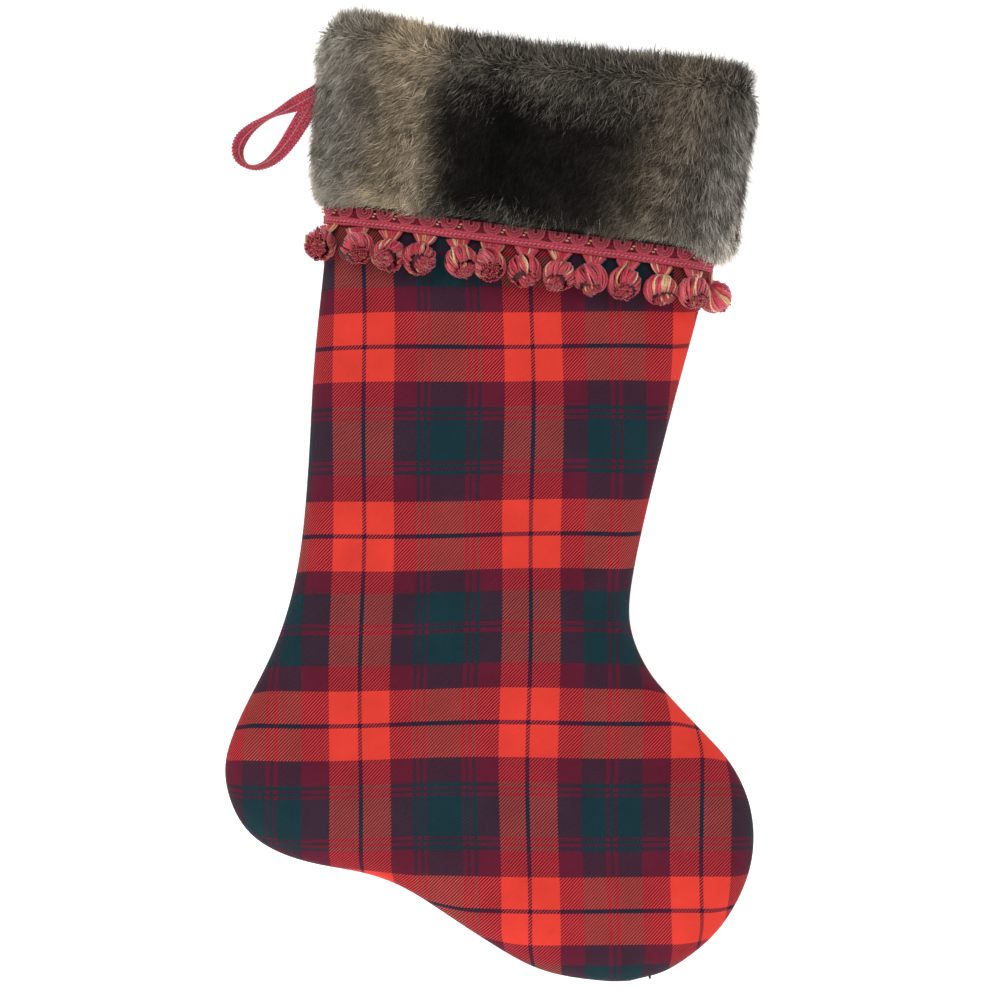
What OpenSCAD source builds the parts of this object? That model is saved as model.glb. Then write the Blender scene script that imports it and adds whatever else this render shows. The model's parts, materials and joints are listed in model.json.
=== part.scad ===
// Hanging stocking: a lined cloth leg with a deep fur cuff, a fringe of onion tassels round the
// cuff's lower edge, and a flat braid loop to hang it by.
// Millimetres. +Z is up, the front faces -Y, and the heel is at -X. The origin is the hook's seat,
// in the far bend of the hanging loop.

/* [Leg] */
// Height of the leg, from the mouth's back corner to the sole
leg_h = 473; // [400:1:600]
// Width of the leg, from the heel's back to the toe's tip
leg_w = 264; // [220:1:340]
// Depth of one half of the leg, from the side seam's plane to its front
leg_depth = 20; // [16:0.5:32]
// Width of the rounded margin along the side seam
edge_round = 60; // [45:1:72]
// Thickness of the outer cloth with its interlining
cloth_t = 1.6; // [1:0.1:2.5]
// Thickness of the lining
lining_t = 0.8; // [0.5:0.1:1.5]
// Seam allowance between the outer cloth's edge and the lining's edge
allowance = 9; // [6:0.5:12]
// Spacing of the side seam's stitches
stitch_pitch = 7; // [5:0.5:12]

/* [Cuff] */
// Height of the cuff below the mouth, to the fringe's header
cuff_h = 83; // [60:1:90]
// Thickness of the fur pile
fur_t = 12; // [8:0.5:15]
// How far the fur stands above the mouth
fur_rise = 9; // [5:0.5:14]
// How far the fur hangs over the fringe's header
fur_lip = 5; // [2:0.5:6]
// Thickness of the knitted ground that carries the pile
ground_t = 1; // [0.6:0.1:1.5]
// Thickness of the facing inside the mouth
facing_t = 4; // [2:0.5:6]
// How far the facing turns in below the mouth
turn_in = 16; // [10:1:24]

/* [Fringe] */
// Height of the gimp header
header_h = 11; // [8:0.5:15]
// Thickness of the gimp header
header_t = 2; // [1.2:0.1:2.6]
// Spacing of the tassels along the header, before it is evened out round the leg
tassel_pitch = 17; // [17:0.5:22]
// Distance of the first tassel past the heel-side seam, along the header's front
first_tassel = 4.2; // [0.5:0.1:8]
// Diameter of a tassel's ball
ball_d = 15.6; // [12:0.1:16]
// Length of a tassel's neck, from its knot under the header to its ball
neck_l = 5.5; // [5:0.5:8]
// Width of a tassel's neck at its knot
neck_w = 10; // [6:0.5:12]
// Diameter of the yarn bundle at a tassel's throat
throat_d = 3.4; // [2.5:0.1:4.5]

/* [Loop] */
// Width of the loop's flat braid
braid_w = 9; // [7:0.5:11]
// Thickness of the loop's flat braid
braid_t = 1.8; // [1.2:0.1:2.4]
// Reach of the loop, from its pivot at the seam to the hook's seat
loop_l = 53; // [45:1:70]
// Width across the loop's eye, between the middles of its two sides
loop_w = 19; // [16:1:26]
// Distance of the loop's pivot below the mouth
root_drop = 28; // [24:1:45]
// Slope of the loop below level, from its pivot to its far bend
loop_dip = 42; // [30:1:50]

/* [Fit] */
// Gap between layers that are sewn together
lay_gap = 0.3; // [0.2:0.05:0.5]
// Gap between pieces that move past each other
move_gap = 0.5; // [0.3:0.05:0.8]

/* [Hidden] */
// The leg's outline, row by row down the leg, for a leg of base_h by base_w. Each row has its
// heel-side point and its toe-side point, from the mouth's back corner. The last row is the sole
// under the toe.
base_h = 473;
base_w = 264;
rows = [
    [[0, 0], [199, -27]],
    [[-5, -94], [185, -118]],
    [[-12, -162], [171, -172]],
    [[-15, -218], [157, -226]],
    [[-20, -266], [147, -272]],
    [[-31, -305], [146, -296]],
    [[-50, -343], [154, -316]],
    [[-57, -370], [165, -330]],
    [[-46, -398], [181, -347]],
    [[-19, -413], [197, -365]],
    [[25, -422], [207, -389]],
    [[65, -447], [206, -418]],
    [[99, -467], [191, -447]],
    [[131, -473], [168, -466]],
    [[146, -473], [154, -471]]
];
last_row = len(rows) - 1;

heel_side = 0;
toe_side = 1;
seam_gap = 0.1;
cols = 14;
wall_rows = 36;
lining_rows = 30;

// Nested depths and insets of the layers inside the outer cloth
in_cloth = leg_depth - cloth_t;
lining_out = in_cloth - lay_gap;
lining_in = lining_out - lining_t;
facing_out = lining_in - lay_gap;
lining_edge = allowance;
facing_edge = lining_edge + lining_t + lay_gap;

// Heights above the outer cloth, outwards
ground_out = lay_gap + ground_t;
fur_in = ground_out + lay_gap;
fur_out = fur_in + fur_t;
header_out = lay_gap + header_t;
header_low = cuff_h + header_h;

// Tassels
knot_r = 0.9;
knot_l = 0.8 * neck_w;
ball_r = ball_d / 2;
throat_l = 2.2;
tie_h = 1.4;
tie_t = 0.8;
reach = neck_l + ball_r;
hinge_v = header_low + move_gap + knot_r;
hinge_h = move_gap + knot_r;
ball_h = ball_r + 1.6 * move_gap;
rest_lean = asin((ball_h - hinge_h) / reach);

// Loop
slot_half = braid_w / 2 + move_gap;
tack_r = 1.9;
tack_half = braid_t + 0.5;
cheek_t = 1;
pivot_h = ground_out + move_gap + norm([tack_r, braid_w / 2]);
loop_steps = 48;

function unit(v) = v / norm(v);

// Points of the leg's outline: t counts the rows, and t below 0 is above the mouth
function row_end(k, side) = [rows[k][side].x * leg_w / base_w, rows[k][side].y * leg_h / base_h];
function spline(a, b, c, d, f) =
    b + 0.5 * ((c - a) * f + (2 * a - 5 * b + 4 * c - d) * f * f + (3 * b - a - 3 * c + d) * f * f * f);
function edge(side, t) =
    t < 1
    ? row_end(0, side) + (row_end(1, side) - row_end(0, side)) * t
    : let (k = min(floor(t), last_row - 1))
      spline(row_end(k - 1, side), row_end(k, side), row_end(k + 1, side),
             row_end(min(k + 2, last_row), side), t - k);
function edge_out(side, t) =
    let (d = unit(edge(side, min(t + 0.05, last_row)) - edge(side, t - 0.05)))
    side == heel_side ? [d.y, -d.x] : [-d.y, d.x];
function edge_inset(side, t, inset) = edge(side, t) - inset * edge_out(side, t);

outline_steps = 3 * last_row;
outline = concat(
    [for (k = [-outline_steps / 3 : outline_steps]) edge(heel_side, k * last_row / outline_steps)],
    [for (k = [outline_steps : -1 : -outline_steps / 3]) edge(toe_side, k * last_row / outline_steps)]);
function to_segment(p, a, b) =
    let (ab = b - a, f = min(1, max(0, ((p - a) * ab) / (ab * ab)))) norm(p - a - ab * f);
function to_outline(p) =
    min([for (k = [0 : len(outline) - 2]) to_segment(p, outline[k], outline[k + 1])]);

// How full the leg is at a distance from its seam: 0 at the seam, 1 past the rounded margin
function fullness(d) = let (u = min(1, max(0, d) / edge_round)) pow(1 - (1 - u) * (1 - u), 0.6);

// A point of a layer's front half: s runs across from the heel side to the toe side
function skin(s, t, inset, depth) =
    let (a = edge_inset(heel_side, t, inset), b = edge_inset(toe_side, t, inset), p = a + (b - a) * s)
    [p.x, (s == 0 || s == 1 || t >= last_row) ? 0 : -depth * fullness(to_outline(p) - inset), p.y];

// Distance down the leg from the mouth, turned into rows
span_1 = norm(row_end(1, heel_side) - row_end(0, heel_side));
span_2 = norm(row_end(2, heel_side) - row_end(1, heel_side));
function row_at(v) = v < span_1 ? v / span_1 : 1 + (v - span_1) / span_2;
function column(j) = (1 - cos(180 * j / cols)) / 2;

// A point at height h above the outer cloth, v below the mouth and s across the front
function cloth(s, v) = skin(s, row_at(v), 0, leg_depth);
function outward(s, v) =
    let (e = 0.004,
         across = cloth(min(s + e, 1), v) - cloth(max(s - e, 0), v),
         down = cloth(s, v + 2) - cloth(s, v - 2),
         n = unit(cross(down, across)))
    (s == 0 || s == 1) ? unit([n.x, 0, n.z]) : n;
function above(s, v, h) = cloth(s, v) + h * outward(s, v);

// Columns of a band that goes right round the leg: across the front, then back across the rear
around = concat(
    [for (j = [0 : cols]) [column(j), 1]],
    [for (j = [cols - 1 : -1 : 0]) [column(j), -1]]);
function band_point(place, hv, parting) =
    let (p = above(place[0], hv[1], hv[0]), y = place[0] < 0.5 ? min(p.y, -parting) : p.y)
    [p.x, y * place[1], p.z];

// The tassels stand at even distances along the header's lower edge, all round the leg
edge_steps = 60;
edge_s = [for (k = [0 : edge_steps]) (1 - cos(180 * k / edge_steps)) / 2];
edge_run = [for (s = edge_s) cloth(s, hinge_v)];
edge_len = [for (k = 0, sum = 0; k <= edge_steps;
                 sum = sum + (k < edge_steps ? norm(edge_run[k + 1] - edge_run[k]) : 0), k = k + 1) sum];
half_len = edge_len[edge_steps];
per_half = round(half_len / tassel_pitch);
tassels = 2 * per_half;
function s_at(len) =
    let (k = max([for (i = [0 : edge_steps - 1]) edge_len[i] <= len ? i : 0]),
         f = (len - edge_len[k]) / (edge_len[k + 1] - edge_len[k]))
    edge_s[k] + f * (edge_s[k + 1] - edge_s[k]);

// Each tassel's hinge: its point, the direction it hangs in and the direction away from the leg
function hinge(i) =
    let (run = first_tassel + i * half_len / per_half,
         turn = run < half_len ? 1 : -1,
         s = s_at(run < half_len ? run : 2 * half_len - run),
         p = above(s, hinge_v, hinge_h),
         down = unit(cloth(s, hinge_v + reach) - cloth(s, hinge_v)),
         o = outward(s, hinge_v + reach),
         out = unit(o - (o * down) * down))
    [[p.x, p.y * turn, p.z], [down.x, down.y * turn, down.z], [out.x, out.y * turn, out.z]];

// The loop's pivot, and the shift that puts the hook's seat at the origin
pivot_row = row_at(root_drop);
pivot = edge(heel_side, pivot_row) + pivot_h * edge_out(heel_side, pivot_row);
to_origin = -(pivot + loop_l * [-cos(loop_dip), -sin(loop_dip)]);
module placed() {
    translate([to_origin.x, 0, to_origin.y]) children();
}

function tassel_name(i) = str("tassel_", i < 10 ? "0" : "", i);

// Two triangles for each cell of a grid of points with the given number of points in a row
function grid_faces(n, m, at, flip) =
    [for (i = [0 : n - 1]) for (j = [0 : m - 1])
        let (a = at + i * (m + 1) + j, b = a + 1, c = b + m + 1, d = a + m + 1)
        for (f = flip ? [[a, c, b], [a, d, c]] : [[a, b, c], [a, c, d]]) f];
function strip_faces(a, b) =
    [for (k = [0 : len(a) - 2]) for (f = [[a[k], a[k + 1], b[k + 1]], [a[k], b[k + 1], b[k]]]) f];

// The wall between two nested skins of the leg's front half, from row t_0 to row t_1
module half_wall(edge_0, depth_0, edge_1, depth_1, t_0, t_1, n) {
    t = [for (i = [0 : n]) t_0 + (t_1 - t_0) * i / n];
    outer = [for (i = [0 : n]) for (j = [0 : cols]) skin(column(j), t[i], edge_0, depth_0)];
    inner = [for (i = [0 : n]) for (j = [0 : cols]) skin(column(j), t[i], edge_1, depth_1)];
    w = cols + 1;
    q = len(outer);
    left = [for (i = [0 : n]) i * w];
    right = [for (i = [0 : n]) i * w + cols];
    top = [for (j = [0 : cols]) j];
    low = [for (j = [0 : cols]) n * w + j];
    over = [for (k = [0 : q - 1]) q + k];
    translate([0, -seam_gap / 2, 0])
        polyhedron(concat(outer, inner), concat(
            grid_faces(n, cols, 0, false),
            grid_faces(n, cols, q, true),
            strip_faces(left, [for (k = left) over[k]]),
            strip_faces([for (k = right) over[k]], right),
            strip_faces([for (k = top) over[k]], top),
            strip_faces(low, [for (k = low) over[k]])));
}

module rear() {
    mirror([0, 1, 0]) children();
}

// A closed section of [height above the cloth, distance below the mouth], swept round the leg.
// A parting leaves the band open at the heel-side seam by that distance each way.
module band(section, parting = 0) {
    open = parting > 0;
    places = open ? around : [for (k = [0 : len(around) - 2]) around[k]];
    m = len(section);
    n = len(places);
    points = [for (place = places) for (hv = section) band_point(place, hv, parting)];
    sides = [for (i = [0 : open ? n - 2 : n - 1]) for (j = [0 : m - 1])
        let (a = i * m + j, b = i * m + (j + 1) % m,
             c = ((i + 1) % n) * m + (j + 1) % m, d = ((i + 1) % n) * m + j)
        for (f = [[a, b, c], [a, c, d]]) f];
    caps = open ? [[for (j = [m - 1 : -1 : 0]) j], [for (j = [0 : m - 1]) (n - 1) * m + j]] : [];
    polyhedron(points, concat(sides, caps));
}

// A round bar of thread from one point to another
module bar(a, b, r) {
    d = b - a;
    translate(a)
        rotate([0, acos(d.z / norm(d)), atan2(d.y, d.x)])
            cylinder(r = r, h = norm(d), $fn = 16);
}

// The outer cloth and the lining
module front_panel() {
    color("firebrick") placed()
        half_wall(0, leg_depth, cloth_t, in_cloth, 0, last_row, wall_rows);
}
module back_panel() {
    color("firebrick") placed() rear()
        half_wall(0, leg_depth, cloth_t, in_cloth, 0, last_row, wall_rows);
}
module front_lining() {
    color("maroon") placed()
        half_wall(lining_edge, lining_out, lining_edge + lining_t, lining_in, 0, last_row, lining_rows);
}
module back_lining() {
    color("maroon") placed() rear()
        half_wall(lining_edge, lining_out, lining_edge + lining_t, lining_in, 0, last_row, lining_rows);
}

// Stitches of the side seam, inside the fold of the outer cloth
module seam_stitches() {
    inset = (cloth_t + allowance) / 2;
    r = 0.4;
    color("darkred") placed()
        for (side = [heel_side, toe_side])
            for (k = [0 : last_row - 1]) {
                n = max(1, round(norm(edge(side, k + 1) - edge(side, k)) / stitch_pitch));
                for (i = [0 : n - 1]) {
                    a = edge_inset(side, k + (i + 0.2) / n, inset);
                    b = edge_inset(side, k + (i + 0.8) / n, inset);
                    bar([a.x, 0, a.y], [b.x, 0, b.y], r);
                }
            }
}

// The cuff
module cuff_ground() {
    color("dimgray") placed()
        band([[lay_gap, 0], [lay_gap, cuff_h - lay_gap], [ground_out, cuff_h - lay_gap], [ground_out, 0]]);
}
module cuff_fur() {
    crown = cloth_t + lining_t + lay_gap;
    over_rim = -2 * lay_gap;
    lip_in = header_out + move_gap;
    shoulder = 8;
    section = concat(
        [[fur_in, over_rim], [fur_in, cuff_h - lay_gap], [lip_in, cuff_h - lay_gap],
         [lip_in, cuff_h + fur_lip - 1]],
        [for (a = [0 : 18 : 90])
            [lip_in + 1 + (fur_out - lip_in - 1) * sin(a), cuff_h - shoulder + (fur_lip + shoulder) * cos(a)]],
        [for (a = [0 : 18 : 90])
            [(fur_out - 2) * cos(a) + 2 - crown * sin(a) / 2, shoulder - (fur_rise + shoulder) * sin(a)]],
        [[-crown, 1 - fur_rise], [-crown, over_rim]]);
    color("dimgray") placed() band(section, slot_half);
}
module front_facing() {
    color("gray") placed()
        half_wall(facing_edge, facing_out, facing_edge + facing_t, facing_out - facing_t,
                  row_at(-fur_rise / 2), row_at(turn_in), 3);
}
module back_facing() {
    color("gray") placed() rear()
        half_wall(facing_edge, facing_out, facing_edge + facing_t, facing_out - facing_t,
                  row_at(-fur_rise / 2), row_at(turn_in), 3);
}

// The fringe
module fringe_header() {
    color("crimson") placed()
        band([[lay_gap, cuff_h], [lay_gap, header_low], [header_out, header_low], [header_out, cuff_h]]);
}
module header_stitches() {
    r = 0.3;
    v = header_low - 1.2;
    per_tassel = 3;
    n = per_half * per_tassel;
    color("wheat") placed()
        for (turn = [1, -1])
            for (k = [0 : n - 1]) {
                a = above(s_at(half_len * (k + 0.25) / n), v, header_out + r + lay_gap);
                b = above(s_at(half_len * (k + 0.75) / n), v, header_out + r + lay_gap);
                bar([a.x, a.y * turn, a.z], [b.x, b.y * turn, b.z], r);
            }
}

// One tassel, hanging down -Z from its hinge at the origin, with its flat neck facing -Y
module tassel_shape() {
    waist = neck_l - throat_l;
    rotate([0, 90, 0]) cylinder(r = knot_r, h = knot_l, center = true, $fn = 24);
    rotate([90, 0, 0])
        linear_extrude(height = 2 * knot_r - 0.2, center = true)
            polygon([[-knot_l / 2, 0], [knot_l / 2, 0], [throat_d / 2, -waist - 0.2], [-throat_d / 2, -waist - 0.2]]);
    translate([0, 0, -neck_l - 1]) cylinder(d = throat_d, h = throat_l + 1, $fn = 32);
    translate([0, 0, -reach]) sphere(r = ball_r, $fn = 48);
}
module tassel_tie() {
    translate([0, 0, -neck_l + 0.3])
        difference() {
            cylinder(r = throat_d / 2 + tie_t, h = tie_h, $fn = 32);
            translate([0, 0, -1]) cylinder(r = throat_d / 2 + seam_gap, h = tie_h + 2, $fn = 32);
        }
}
module tassel(i) {
    frame = hinge(i - 1);
    p = frame[0];
    z = -frame[1];
    y = -frame[2];
    x = cross(y, z);
    color("indianred") placed()
        multmatrix([[x.x, y.x, z.x, p.x], [x.y, y.y, z.y, p.y], [x.z, y.z, z.z, p.z]])
            rotate([-rest_lean, 0, 0]) {
                tassel_shape();
                tassel_tie();
            }
}

// The loop: u runs from the pivot to the far bend, w across the eye
function loop_u(q) = (loop_l + braid_t / 2) * (1 - cos(360 * q)) / 2;
function loop_side(q) = sin(360 * q) * (1 - cos(360 * q)) / 1.299;
function ease(f) = let (g = min(1, max(0, f))) g * g * (3 - 2 * g);
// Turn of the braid: 0 lies flat towards the front, 90 stands on edge
function loop_twist(q) = 90 * ease((0.5 - abs(q - 0.5) - 0.12) / 0.16);
function loop_point(q) =
    let (u = loop_u(q), w = loop_w / 2 * loop_side(q), c = cos(loop_dip), s = sin(loop_dip),
         y = (braid_t / 2 + seam_gap / 2) * (1 - loop_twist(q) / 90) * (q < 0.5 ? -1 : 1))
    [pivot.x - u * c - w * s, y, pivot.y - u * s + w * c];
function loop_start() = acos(1 - 2 * (tack_r + move_gap / 2) / (loop_l + braid_t / 2)) / 360;

module hanging_loop() {
    q_0 = loop_start();
    q = [for (k = [0 : loop_steps]) q_0 + (1 - 2 * q_0) * k / loop_steps];
    rings = [for (g = q)
        let (p = loop_point(g),
             d = unit(loop_point(g + 0.004) - loop_point(g - 0.004)),
             lie = unit(cross(d, [0, 1, 0])),
             stand = cross(d, lie),
             a = loop_twist(g),
             wide = braid_w / 2 * (cos(a) * lie + sin(a) * stand),
             thick = braid_t / 2 * (-sin(a) * lie + cos(a) * stand))
        for (c = [wide + thick, wide - thick, -wide - thick, -wide + thick]) p + c];
    sides = [for (i = [0 : loop_steps - 1]) for (j = [0 : 3])
        let (a = 4 * i + j, b = 4 * i + (j + 1) % 4)
        for (f = [[a, b, b + 4], [a, b + 4, a + 4]]) f];
    color("indianred") placed()
        polyhedron(rings, concat(sides, [[3, 2, 1, 0], [for (j = [0 : 3]) 4 * loop_steps + j]]));
}
// Thread that binds the loop's two ends
module loop_tack() {
    color("darkred") placed()
        translate([pivot.x, 0, pivot.y]) rotate([90, 0, 0])
            cylinder(r = tack_r, h = 2 * tack_half, center = true, $fn = 32);
}
// Thread cheeks that carry the tack on both sides, sewn to the cuff's ground
module loop_stitches() {
    out = edge_out(heel_side, pivot_row);
    foot = pivot_h - fur_in;
    color("darkred") placed()
        translate([pivot.x, 0, pivot.y]) rotate([0, atan2(-out.y, out.x), 0])
            for (y = [-1, 1])
                translate([0, y * (tack_half + move_gap + cheek_t / 2), 0]) rotate([90, 0, 0]) {
                    cylinder(r = tack_r, h = cheek_t, center = true, $fn = 32);
                    translate([-foot / 2, 0, 0]) cube([foot, 2 * tack_r, cheek_t], center = true);
                }
}

front_panel();
back_panel();
front_lining();
back_lining();
seam_stitches();
cuff_ground();
cuff_fur();
front_facing();
back_facing();
fringe_header();
header_stitches();
loop_stitches();
loop_tack();
hanging_loop();
for (i = [1 : tassels])
    tassel(i);
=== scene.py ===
import json
import math
import bpy
import bmesh
import numpy as np
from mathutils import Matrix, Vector


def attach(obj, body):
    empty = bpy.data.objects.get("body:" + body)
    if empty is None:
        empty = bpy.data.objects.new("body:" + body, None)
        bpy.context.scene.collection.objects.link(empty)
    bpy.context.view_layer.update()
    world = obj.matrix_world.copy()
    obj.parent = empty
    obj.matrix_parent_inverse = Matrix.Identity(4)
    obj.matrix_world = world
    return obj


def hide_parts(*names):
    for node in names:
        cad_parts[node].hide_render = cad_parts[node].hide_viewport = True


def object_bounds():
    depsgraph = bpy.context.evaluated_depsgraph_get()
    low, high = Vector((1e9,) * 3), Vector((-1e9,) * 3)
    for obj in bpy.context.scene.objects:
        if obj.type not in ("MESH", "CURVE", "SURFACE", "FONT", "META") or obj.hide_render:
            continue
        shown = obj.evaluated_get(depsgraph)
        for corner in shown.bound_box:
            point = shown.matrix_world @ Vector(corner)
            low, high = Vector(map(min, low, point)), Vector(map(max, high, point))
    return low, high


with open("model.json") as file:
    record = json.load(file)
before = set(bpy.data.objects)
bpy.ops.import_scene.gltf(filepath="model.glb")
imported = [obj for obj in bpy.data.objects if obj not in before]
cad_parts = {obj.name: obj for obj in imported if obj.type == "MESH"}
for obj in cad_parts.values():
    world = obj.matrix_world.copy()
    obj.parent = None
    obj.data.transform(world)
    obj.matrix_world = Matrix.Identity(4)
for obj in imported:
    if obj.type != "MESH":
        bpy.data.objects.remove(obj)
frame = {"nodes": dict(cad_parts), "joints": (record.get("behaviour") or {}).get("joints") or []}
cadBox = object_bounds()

nodes = frame["nodes"]
joints = {j["name"]: j for j in frame["joints"]}
draw = np.random.default_rng(24)
mm = 0.001


# small helpers

def linear(colour):
    parts = [int(colour[i:i + 2], 16) / 255 for i in (1, 3, 5)]
    return [p / 12.92 if p <= 0.04045 else ((p + 0.055) / 1.055) ** 2.4 for p in parts] + [1.0]


def addNode(tree, kind, settings=None, links=None):
    # settings: an input's name or number, or a property; links: input -> (node, output)
    node = tree.nodes.new("ShaderNode" + kind)
    for name, value in (settings or {}).items():
        if isinstance(name, int) or name in node.inputs:
            node.inputs[name].default_value = value
        else:
            setattr(node, name, value)
    for name, (source, output) in (links or {}).items():
        tree.links.new(source.outputs[output], node.inputs[name])
    return node


def startMaterial(name, roughness, sheen=0.0, sheenRoughness=0.4, specular=0.5):
    material = bpy.data.materials.new(name)
    material.use_nodes = True
    tree = material.node_tree
    tree.nodes.clear()
    shader = addNode(tree, "BsdfPrincipled", {
        "Roughness": roughness, "Sheen Weight": sheen,
        "Sheen Roughness": sheenRoughness, "Specular IOR Level": specular})
    addNode(tree, "OutputMaterial", links={"Surface": (shader, "BSDF")})
    return material, tree, shader


def setStops(ramp, stops, interpolation="LINEAR"):
    elements = ramp.color_ramp.elements
    ramp.color_ramp.interpolation = interpolation
    while len(elements) < len(stops):
        elements.new(0.5)
    for element, (place, colour) in zip(elements, stops):
        element.position = place
    for element, (place, colour) in zip(elements, stops):
        element.color = linear(colour)


def deselect():
    for o in list(bpy.context.selected_objects):
        o.select_set(False)


def choose(piece):
    deselect()
    bpy.context.view_layer.objects.active = piece
    piece.select_set(True)


def settle(piece):
    # place, turn and size go into the mesh
    choose(piece)
    bpy.ops.object.transform_apply(location=True, rotation=True, scale=True)


def finishPiece(piece, body, material, stands=()):
    piece.data.materials.clear()
    piece.data.materials.append(material)
    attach(piece, body)
    if stands:
        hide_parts(*stands)
    return piece


def copyNode(name, pieceName):
    # a merged copy of a CAD node, free of its body
    choose(nodes[name])
    bpy.ops.object.duplicate()
    piece = bpy.context.active_object
    piece.name = pieceName
    piece.parent = None
    for key in list(piece.keys()):
        del piece[key]
    bpy.ops.object.mode_set(mode="EDIT")
    bpy.ops.mesh.select_all(action="SELECT")
    bpy.ops.mesh.remove_doubles(threshold=0.00001)
    bpy.ops.mesh.select_mode(type="FACE")
    bpy.ops.mesh.select_all(action="DESELECT")
    bpy.ops.object.mode_set(mode="OBJECT")
    while piece.data.uv_layers:
        piece.data.uv_layers.remove(piece.data.uv_layers[0])
    return piece


def pointsOf(piece):
    flat = np.zeros(len(piece.data.vertices) * 3)
    piece.data.vertices.foreach_get("co", flat)
    return flat.reshape(-1, 3)


def setPoints(piece, points):
    piece.data.vertices.foreach_set("co", np.asarray(points, float).ravel())
    piece.data.update()


def makePiece(name, points, faces, smooth=True, uv=None):
    # faces: a list of index arrays, each with its own number of corners
    mesh = bpy.data.meshes.new(name)
    counts = np.concatenate([np.full(len(f), f.shape[1]) for f in faces])
    corners = np.concatenate([f.ravel() for f in faces]).astype(np.int32)
    mesh.vertices.add(len(points))
    mesh.vertices.foreach_set("co", np.asarray(points, float).ravel())
    mesh.loops.add(len(corners))
    mesh.loops.foreach_set("vertex_index", corners)
    mesh.polygons.add(len(counts))
    mesh.polygons.foreach_set("loop_start", np.concatenate([[0], np.cumsum(counts)[:-1]]).astype(np.int32))
    mesh.polygons.foreach_set("use_smooth", np.full(len(counts), smooth))
    if uv is not None:
        layer = mesh.uv_layers.new(name="OFBake")
        layer.data.foreach_set("uv", np.asarray(uv, float)[corners].ravel())
    mesh.update(calc_edges=True)
    mesh.validate()
    piece = bpy.data.objects.new(name, mesh)
    bpy.context.scene.collection.objects.link(piece)
    return piece


def unit(v):
    v = np.asarray(v, float)
    return v / np.maximum(np.linalg.norm(v, axis=-1, keepdims=True), 1e-12)


def tubes(paths, wide, radius, sides=6, flat=1.0):
    # closed tubes along paths (tube, point, xyz): wide is the way across them, flat is thickness over width.
    # marks gives each point's tube, and its place round and along it
    paths = np.asarray(paths, float)
    count, steps = paths.shape[:2]
    radius = np.broadcast_to(np.asarray(radius, float), (count, steps))[..., None, None]
    ahead = unit(np.gradient(paths, axis=1))
    across = unit(wide - ahead * np.sum(wide * ahead, -1, keepdims=True))
    up = np.cross(ahead, across)
    angle = 2 * math.pi * np.arange(sides) / sides
    ring = across[:, :, None] * np.cos(angle)[None, None, :, None] \
        + flat * up[:, :, None] * np.sin(angle)[None, None, :, None]
    body = (paths[:, :, None] + radius * ring).reshape(-1, 3)
    ends = np.concatenate([paths[:, 0], paths[:, -1]])
    first = np.arange(count) * steps * sides
    i, j = np.meshgrid(np.arange(steps - 1), np.arange(sides), indexing="ij")
    a, b = (i * sides + j).ravel(), (i * sides + (j + 1) % sides).ravel()
    quad = np.stack([a, b, b + sides, a + sides], 1)
    quads = (first[:, None, None] + quad[None]).reshape(-1, 4)
    k = np.arange(sides)
    startCap = np.stack([np.zeros(sides, int), (k + 1) % sides, k], 1)
    endCap = np.stack([np.zeros(sides, int), k, (k + 1) % sides], 1)
    startCap = first[:, None, None] + startCap[None]
    endCap = (first + (steps - 1) * sides)[:, None, None] + endCap[None]
    startCap[:, :, 0] = (len(body) + np.arange(count))[:, None]
    endCap[:, :, 0] = (len(body) + count + np.arange(count))[:, None]
    caps = np.concatenate([startCap.reshape(-1, 3), endCap.reshape(-1, 3)])
    around = np.tile(np.arange(sides) / sides, count * steps)
    along = np.tile(np.repeat(np.linspace(0, 1, steps), sides), count)
    which = np.repeat(np.arange(count), steps * sides)
    marks = np.stack([
        np.concatenate([which, np.arange(count), np.arange(count)]),
        np.concatenate([around, np.full(2 * count, 0.5)]),
        np.concatenate([along, np.zeros(count), np.ones(count)])], 1)
    return np.concatenate([body, ends]), [quads, caps], marks


def joined(parts):
    # several (points, faces, marks) as one, their tubes numbered on from each other
    points, quads, caps, marks, at, tube = [], [], [], [], 0, 0
    for p, (q, c), m in parts:
        points.append(p)
        quads.append(q + at)
        caps.append(c + at)
        marks.append(m + np.array([tube, 0, 0]))
        at += len(p)
        tube += int(m[:, 0].max()) + 1
    return np.concatenate(points), [np.concatenate(quads), np.concatenate(caps)], np.concatenate(marks)


def rope(path, side, normal, radius, pitch, hand, offset=0.0, lift=0.0, flat=1.0, sides=6):
    # two plies laid round each other along a path, offset to its side and lifted off its surface
    run = np.concatenate([[0], np.cumsum(np.linalg.norm(np.diff(path, axis=0), axis=1))])
    ply = radius * 0.52
    strands = []
    for start in (0, math.pi):
        turn = hand * 2 * math.pi * run / pitch + start
        strands.append(path + side * (offset + ply * np.cos(turn))[:, None]
                       + normal * (lift + flat * ply * np.sin(turn))[:, None])
    return tubes(strands, np.broadcast_to(side, (2,) + side.shape), ply * 1.08, sides, flat)


# camera

viewPlan = {"width": 0.5, "distance": 3.0, "sensor": 36.0, "right": 0.0038, "up": -0.0004}
low, high = np.array(cadBox[0]), np.array(cadBox[1])
middle = (low + high) / 2
deselect()
bpy.ops.object.camera_add(
    location=(middle[0] + viewPlan["right"], middle[1] - viewPlan["distance"], middle[2] + viewPlan["up"]),
    rotation=(math.pi / 2, 0, 0))
camera = bpy.context.active_object
camera.name = "viewCamera"
camera.data.sensor_width = viewPlan["sensor"]
camera.data.lens = viewPlan["sensor"] * viewPlan["distance"] / viewPlan["width"]
bpy.context.scene.camera = camera
bpy.context.scene.view_settings.view_transform = "Standard"
print("camera done")


# yarn finish, shared by braid, gimp and tassels

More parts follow.
